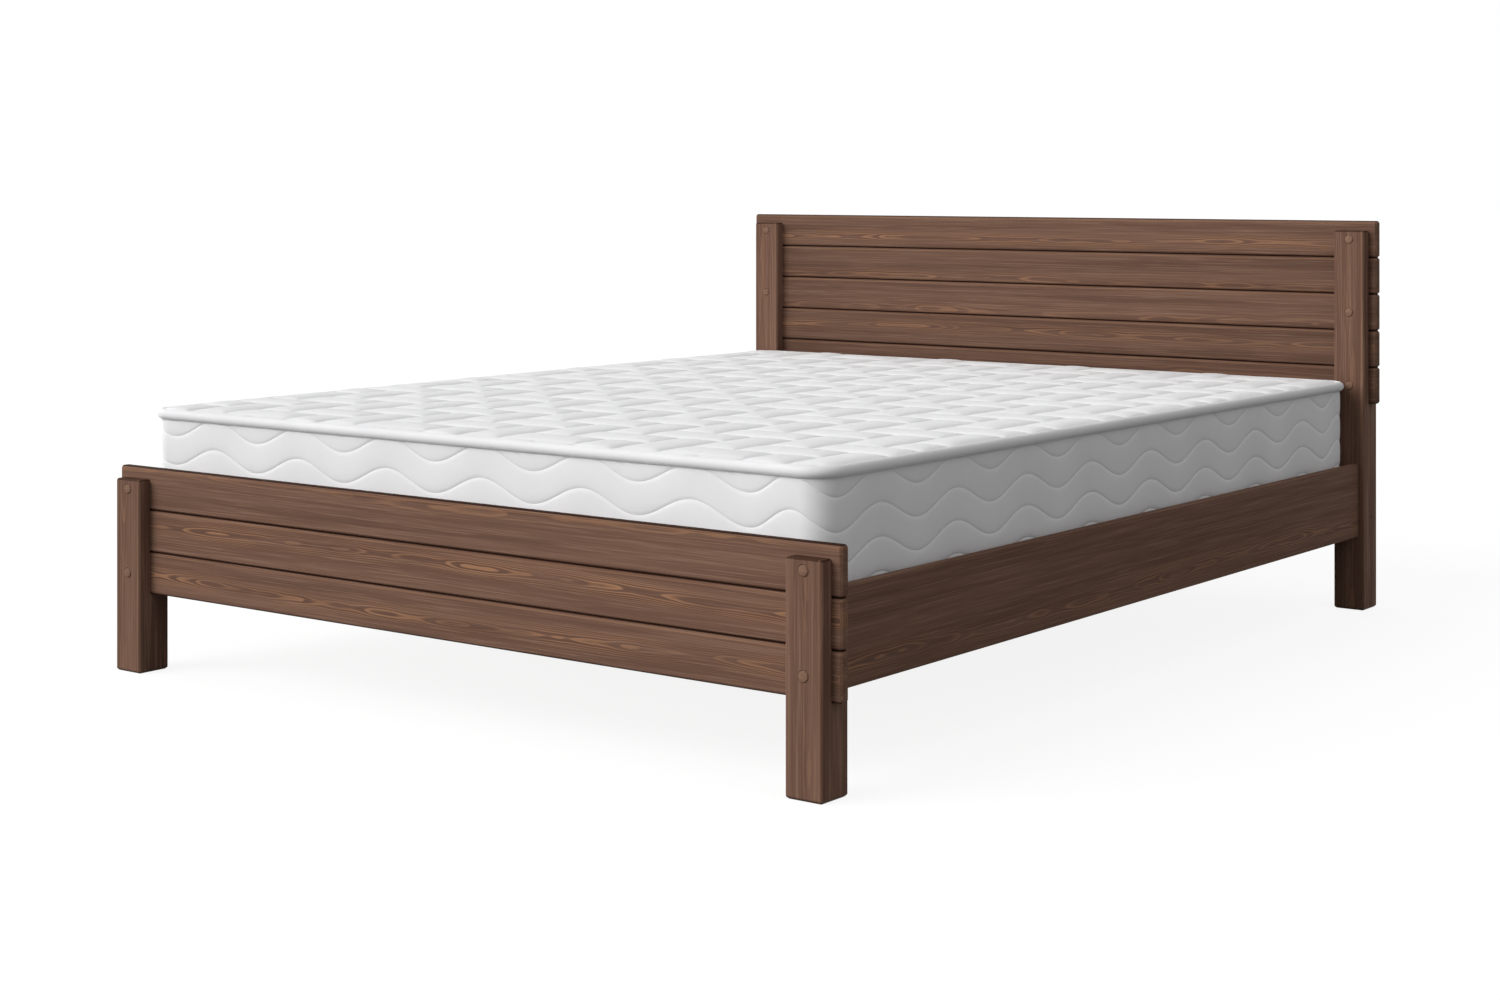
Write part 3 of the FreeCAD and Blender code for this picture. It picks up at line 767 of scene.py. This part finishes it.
def screws(name, node, material, sunk):
    """Screws with cross heads and threads, in the places of the node's screws."""
    points = []
    faces = []
    for low, high, group in islands(node):
        size = high - low
        axis = list(size).index(max(size))
        middle = (low + high) / 2
        ahead = end_radius(group, middle, axis, high[axis]) > end_radius(group, middle, axis, low[axis])
        origin = middle.copy()
        origin[axis] = high[axis] if ahead else low[axis]
        out = Vector((0.0, 0.0, 0.0))
        out[axis] = 1.0 if ahead else -1.0
        turn = Vector((0, 0, 1)).rotation_difference(out).to_matrix()
        head = end_radius(group, middle, axis, origin[axis])
        rod = spun(screw_profile(size[axis], head, sunk), screw_sides, closed_top=False)
        for part_points, part_faces in (rod, cross_recess(head * recess_share, screw_sides)):
            add_part(points, faces, [origin + turn @ point for point in part_points], part_faces)
    return new_mesh(name, points, faces, material, smooth=False)


for node, sunk in (("panel_screws", False), ("bracket_screws", False), ("ledger_screws", True),
                   ("hanger_screws", False), ("slat_screws", True), ("cross_rail_screws", False)):
    stand_for(screws(node + "_detailed", node, steel, sunk), "frame", "zinc_steel", node)


def levelling_pad():
    """A round foot on the floor, with its threaded stud."""
    low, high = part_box("levelling_foot")
    radius = (high.x - low.x) / 2
    profile = [
        (radius - pad_bevel, 0.0),
        (radius, pad_rim_low),
        (radius, pad_rim_high),
        (radius - pad_bevel, pad_top),
        (stud_radius, pad_neck),
    ]
    for step in range(stud_steps):
        profile.append((stud_radius if step % 2 else stud_root, pad_neck + step * stud_half_pitch))
    points, faces = spun(profile, pad_sides)
    return new_mesh("levelling_pad", points, faces, steel, smooth=False)


stand_for(levelling_pad(), "frame", "zinc_steel", "levelling_foot")


# Mattress

cover = fabric("quilted_cover", linear(233, 233, 234), thread=1.6 * mm, bump_depth=0.3 * mm)
side_cover = fabric("border_cover", linear(233, 233, 234), thread=1.4 * mm, bump_depth=0.2 * mm)
tape = fabric("piping_tape", linear(229, 229, 230), thread=1.2 * mm, bump_depth=0.2 * mm)
pipe_low, pipe_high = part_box("mattress_top_piping")
lower_low, lower_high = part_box("mattress_bottom_piping")
border_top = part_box("mattress_border")[1].z
mattress_centre = (pipe_low + pipe_high) / 2
pipe_radius = (pipe_high.z - pipe_low.z) / 2
panel_tuck = 1.5 * pipe_radius


def half_plan(low, high, inset):
    """Half the width and half the length of a box seen from above, less an inset."""
    return (high.x - low.x) / 2 - inset, (high.y - low.y) / 2 - inset


def rounded_plan(half_x, half_y, radius, step):
    """Points, outward ways and travel round the mattress, from its left foot corner along the foot."""
    stations = []
    travel = 0.0
    quarter = radius * math.pi / 2
    for turn in range(4):
        run, away = (half_x, half_y) if turn % 2 == 0 else (half_y, half_x)
        out = Vector((math.sin(turn * math.pi / 2), -math.cos(turn * math.pi / 2), 0))
        along = Vector((math.cos(turn * math.pi / 2), math.sin(turn * math.pi / 2), 0))
        straight = 2 * (run - radius)
        count = max(1, round(straight / step))
        start = out * away - along * (run - radius)
        for index in range(count):
            distance = straight * index / count
            stations.append((start + along * distance, out, travel + distance))
        travel += straight
        pivot = out * (away - radius) + along * (run - radius)
        count = max(least_corner_steps, round(quarter / step))
        for index in range(count):
            angle = math.pi / 2 * index / count
            way = out * math.cos(angle) + along * math.sin(angle)
            stations.append((pivot + way * radius, way, travel + radius * angle))
        travel += quarter
    return stations


def ring_mesh(name, sections, material):
    """A closed band through sections of as many points."""
    count = len(sections[0])
    points = [point for section in sections for point in section]
    faces = []
    for index, after in neighbours(len(sections)):
        here = index * count
        there = after * count
        for row, next_row in neighbours(count):
            faces.append((here + row, there + row, there + next_row, here + next_row))
    return new_mesh(name, points, faces, material)


def puff_share(distance, near_roll, near_share):
    """How far a puff has risen at a distance from a stitch line: fast at first, then slowly."""
    near = near_share * (1 - math.exp(-distance / near_roll))
    return near + (1 - near_share) * (1 - math.exp(-distance / wide_roll))


def border():
    """Quilted side: puffs between stitch lines. The lines' waves are closer together at the corners."""
    reach = border_inset + puff_depth
    half_x, half_y = half_plan(pipe_low, pipe_high, reach)
    radius = corner_radius - reach
    quarter = radius * math.pi / 2
    runs = [2 * (half - radius) for half in (half_x, half_y, half_x, half_y)]
    gain = (wave_count * wave_length - sum(runs) - 4 * quarter) / 4
    corner_starts = [runs[0]]
    for run in runs[1:]:
        corner_starts.append(corner_starts[-1] + quarter + run)
    top = pipe_low.z + border_tuck
    bottom = lower_high.z - border_tuck
    sections = []
    for spot, out, distance in rounded_plan(half_x, half_y, radius, wave_length / wave_steps):
        turned = sum(clamp((distance - start + corner_lead) / corner_ramp) for start in corner_starts)
        phase = (distance + gain * turned - wave_start) / wave_length
        lift = wave_rise / 2 * math.cos(2 * math.pi * phase)
        lines = [pipe_low.z - line_drop - row * line_pitch + lift for row in range(line_count)]
        marks = [lines[0] + line_pitch] + lines + [lines[-1] - line_pitch]
        section = []
        base = spot + Vector((0, mattress_centre.y, 0))
        for upper, lower in zip(marks, marks[1:]):
            for share in line_shares:
                z = min(max(upper + (lower - upper) * share, bottom), top)
                rise = puff_share(upper - z, upper_roll, upper_roll_share)
                fall = puff_share(z - lower, lower_roll, lower_roll_share)
                section.append(base + out * puff_depth * rise * fall + Vector((0, 0, z)))
        inner = base - out * border_wall
        section.append(inner + Vector((0, 0, bottom)))
        section.append(inner + Vector((0, 0, top)))
        sections.append(section)
    return ring_mesh("mattress_border_quilted", sections, side_cover)


def pipe(name, box_low, box_high, radius_at_corner):
    """Round piping, very slightly uneven in thickness."""
    half_x, half_y = half_plan(box_low, box_high, pipe_radius)
    z = (box_low.z + box_high.z) / 2
    sections = []
    for spot, out, distance in rounded_plan(half_x, half_y, radius_at_corner - pipe_radius, pipe_step):
        base = spot + Vector((0, mattress_centre.y, z))
        slow = math.sin(distance * pipe_slow_wave + pipe_wave_shift)
        swell = 1 + pipe_swell_share * math.sin(distance * pipe_fast_wave) * slow
        section = []
        for angle in circle(pipe_sides):
            way = out * math.cos(angle) + Vector((0, 0, math.sin(angle)))
            section.append(base + way * pipe_radius * swell)
        sections.append(section)
    return ring_mesh(name, sections, tape)


def quilt_puff(x, y):
    """Height of the quilting over its seams: bars of two squares laid as a basket weave."""
    column = math.floor((x - quilt_start.x) / quilt_square)
    row = math.floor((y - quilt_start.y) / quilt_square)
    place = (column - row) % 4
    first_column = column - 1 if place == 1 else column
    first_row = row - 1 if place == 2 else row
    wide, deep = (2, 1) if place in (0, 1) else (1, 2)
    right = (x - quilt_start.x) / quilt_square - first_column
    up = (y - quilt_start.y) / quilt_square - first_row
    gap_x = min(right, wide - right)
    gap_y = min(up, deep - up)
    across, along = (gap_y, gap_x) if wide == 2 else (gap_x, gap_y)
    across = clamp(across * across_gain)
    along = clamp(along * along_gain)
    shape = (1 - (1 - across) ** 2) * (1 - (1 - along) ** 3)
    spot = Vector((first_column * uneven_column_step, first_row * uneven_row_step, uneven_layer))
    wild = noise.noise(spot)
    gap = max(0.0, min(gap_x, gap_y)) * quilt_square
    crease = quilt_crease * (1 - math.exp(-gap / crease_width))
    return quilt_rise * shape * (1 + uneven_share * wild) + crease


def merged_steps(limit, start):
    """Steps from -limit to limit, finer at the seams and at the ends."""
    values = {round(side * (limit - edge * mm), 6) for side in (-1, 1) for edge in edge_marks}
    count = math.ceil(limit / quilt_square) + 1
    for square in range(-count, count):
        for mark in quilt_marks:
            value = start + square * quilt_square + mark * mm
            if abs(value) < limit - edge_zone:
                values.add(round(value, 6))
    return sorted(values)


def rounded_spot(x, y, half_x, half_y, radius):
    """A point of a rectangle drawn in to the rounded corners, and its distance from the edge."""
    over_x = max(0.0, abs(x) - (half_x - radius))
    over_y = max(0.0, abs(y) - (half_y - radius))
    if over_x == 0 or over_y == 0:
        return x, y, min(half_x - abs(x), half_y - abs(y))
    reach = max(over_x, over_y)
    length = math.hypot(over_x, over_y)
    inner_x = math.copysign(half_x - radius + over_x * reach / length, x)
    inner_y = math.copysign(half_y - radius + over_y * reach / length, y)
    return inner_x, inner_y, radius - reach


def quilted_top():
    """The quilted top as one closed form: a puffed sheet, with a rolled edge tucked in behind the piping."""
    half_x, half_y = half_plan(pipe_low, pipe_high, panel_tuck)
    radius = corner_radius - panel_tuck
    level = pipe_high.z - seam_drop
    columns = merged_steps(half_x, quilt_start.x)
    rows = merged_steps(half_y, quilt_start.y)
    points = []
    for row_y in rows:
        for column_x in columns:
            x, y, inside = rounded_spot(column_x, row_y, half_x, half_y, radius)
            roll = min(1.0, inside / edge_roll)
            shoulder = math.sqrt(max(0.0, 1 - (1 - roll) ** 2))
            swell = edge_share + (1 - edge_share) * math.sin(min(1.0, inside / edge_swell) * math.pi / 2)
            crown = top_crown * (1 - (abs(x) / half_x) ** 4) * (1 - (abs(y) / half_y) ** 4)
            z = level - edge_drop + edge_drop * shoulder + crown + quilt_puff(x, y) * swell
            points.append(Vector((x, y + mattress_centre.y, z)))
    wide = len(columns)
    last_row = len(rows) - 1
    faces = []
    for row in range(last_row):
        for column in range(wide - 1):
            corner = row * wide + column
            faces.append((corner, corner + 1, corner + wide + 1, corner + wide))
    rim = list(range(wide))
    rim += [row * wide + wide - 1 for row in range(1, last_row + 1)]
    rim += [last_row * wide + column for column in range(wide - 2, -1, -1)]
    rim += [row * wide for row in range(last_row - 1, 0, -1)]
    first = len(points)
    points += [Vector((points[index].x, points[index].y, border_top)) for index in rim]
    for k, after in neighbours(len(rim)):
        faces.append((rim[k], first + k, first + after, rim[after]))
    faces.append(tuple(first + k for k in reversed(range(len(rim)))))
    return new_mesh("mattress_top_quilted", points, faces, cover)


stand_for(border(), "mattress", "quilted_cover", "mattress_border")
upper_pipe = pipe("mattress_top_pipe", pipe_low, pipe_high, corner_radius)
stand_for(upper_pipe, "mattress", "piping", "mattress_top_piping")
lower_pipe = pipe("mattress_bottom_pipe", lower_low, lower_high, lower_corner_radius)
stand_for(lower_pipe, "mattress", "piping", "mattress_bottom_piping")
stand_for(quilted_top(), "mattress", "quilted_cover", "mattress_top_panel", "mattress_core")


def bottom_panel():
    """The flat underside with its rounded edge."""
    low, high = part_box("mattress_bottom_panel")
    half_x, half_y = half_plan(lower_low, lower_high, panel_tuck)
    stations = rounded_plan(half_x, half_y, corner_radius - panel_tuck, under_step)
    count = len(stations)
    rings = [(0.0, high.z)] + [(inset * mm, low.z + rise * mm) for inset, rise in under_edge]
    points = []
    for inset, z in rings:
        points += [spot - out * inset + Vector((0, mattress_centre.y, z)) for spot, out, _ in stations]
    last = (len(rings) - 1) * count
    faces = []
    for upper in range(0, last, count):
        lower = upper + count
        for k, after in neighbours(count):
            faces.append((upper + after, upper + k, lower + k, lower + after))
    faces.append(tuple(range(count)))
    faces.append(tuple(reversed(range(last, last + count))))
    return new_mesh("mattress_underside", points, faces, cover, smooth=False)


stand_for(bottom_panel(), "mattress", "quilted_cover", "mattress_bottom_panel")


# Stage, light and camera


def pale_floor():
    """A wide pale floor that keeps the shadow and runs into a white background."""
    graph = Graph(bpy.data.materials.new("floor"))
    plain = graph.add("BsdfDiffuse", {"Color": floor_tone}).outputs[0]
    thin = graph.add("BsdfDiffuse", {"Color": (floor_share, floor_share, floor_share, 1.0)}).outputs[0]
    glow = graph.add("Emission", {"Color": white, "Strength": floor_glow}).outputs[0]
    shown = graph.add("AddShader", {0: thin, 1: glow}).outputs[0]
    both = graph.add("MixShader", {0: graph.seen(), 1: plain, 2: shown}).outputs[0]
    corners = [(x * floor_half, y * floor_half, 0) for x, y in ((-1, -1), (1, -1), (1, 1), (-1, 1))]
    floor = new_mesh("floor", corners, [(0, 1, 2, 3)], graph.finish(both), smooth=False)


def studio_sky():
    """Soft light from all round, in front of a white background."""
    graph = Graph(bpy.data.worlds.new("studio"))
    soft = graph.add("Background", {"Color": white, "Strength": sky_strength}).outputs[0]
    plain = graph.add("Background", {"Color": white, "Strength": 1.0}).outputs[0]
    mixed = graph.add("MixShader", {0: graph.seen(), 1: soft, 2: plain}).outputs[0]
    bpy.context.scene.world = graph.finish(mixed, "OutputWorld")


def sun(name, strength, direction, spread):
    """A far lamp. The wider its spread, the softer its shadows."""
    data = bpy.data.lights.new(name, "SUN")
    data.energy = strength
    data.angle = math.radians(spread)
    lamp = bpy.data.objects.new(name, data)
    lamp.rotation_euler = direction.to_track_quat("-Z", "Y").to_euler()
    bpy.context.scene.collection.objects.link(lamp)


def photo_camera():
    """The camera of the photograph: level, with a lens shift."""
    data = bpy.data.cameras.new("camera")
    data.sensor_width = sensor_width
    data.lens = camera_focal_px / photo_width_px * sensor_width
    data.shift_x, data.shift_y = camera_shift
    data.clip_end = camera_reach
    camera = bpy.data.objects.new("camera", data)
    camera.location = camera_place
    camera.rotation_euler = (math.radians(90), 0, math.radians(camera_yaw))
    bpy.context.scene.collection.objects.link(camera)
    bpy.context.scene.camera = camera


pale_floor()
studio_sky()
for name, (strength, direction, spread) in lamps.items():
    sun(name, strength, direction, spread)
photo_camera()
bpy.context.scene.view_settings.view_transform = "Standard"
